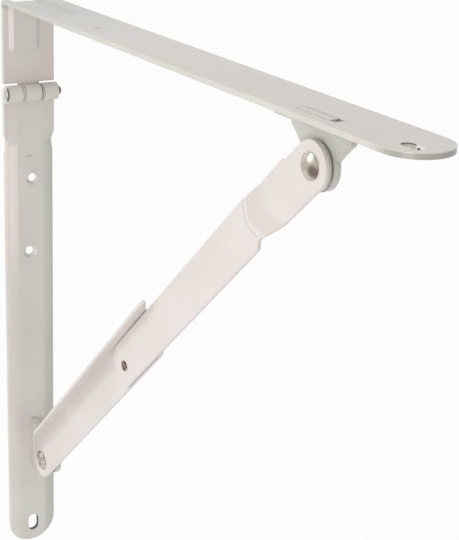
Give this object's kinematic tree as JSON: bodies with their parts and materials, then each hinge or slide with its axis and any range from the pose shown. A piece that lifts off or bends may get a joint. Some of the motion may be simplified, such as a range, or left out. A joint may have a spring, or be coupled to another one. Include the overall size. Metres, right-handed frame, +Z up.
{
  "type": "folding shelf bracket",
  "caption": "Folding shelf bracket: a flat arm hinged to a rolled wall leg and held level by a two-link strut that breaks at its knee so the arm drops against the wall.",
  "frame": {"origin": "on the wall plane, at mid-width and level with the top wall screw", "axes": "+X out from the wall along the arm, +Y along the wall, +Z up out of the shelf face"},
  "size_m": [0.35, 0.0326, 0.335],
  "materials": {
    "coat": "satin off-white powder coat",
    "plated_steel": "bright nickel plate",
    "dark_steel": "oiled dark steel"
  },
  "bodies": {
    "wall_leg": {"wall_leg": "coat", "hinge_pin": "dark_steel", "wall_lug": "coat", "wall_rivet": "plated_steel", "wall_washer": "coat", "wall_spacer": "dark_steel"},
    "lower_link": {"lower_link": "coat", "knee_rivet": "dark_steel", "knee_spacer": "dark_steel"},
    "upper_link": {"upper_link": "coat"},
    "arm": {"shelf_arm": "coat", "arm_lug": "coat", "eye_rivet": "plated_steel", "eye_washer": "coat", "eye_spacer": "dark_steel"}
  },
  "joints": [
    {"name": "lower_link_swing", "type": "hinge", "parent": "wall_leg", "child": "lower_link", "pos_m": [0.0308, 0, -0.1658], "axis": [0, 1, 0], "range_deg": [-42.29, 0]},
    {"name": "knee_fold", "type": "hinge", "parent": "lower_link", "child": "upper_link", "pos_m": [0.1348, 0, -0.06405], "axis": [0, 1, 0], "range_deg": [0, 177.5]},
    {"name": "arm_turn", "type": "hinge", "parent": "upper_link", "child": "arm", "pos_m": [0.28, 0, 0.078], "axis": [0, 1, 0], "range_deg": [-45.2, 0]}
  ],
  "couplings": [
    {"joint": "knee_fold", "follows": "lower_link_swing", "ratio": -4.1966},
    {"joint": "arm_turn", "follows": "lower_link_swing", "ratio": 1.0686}
  ]
}
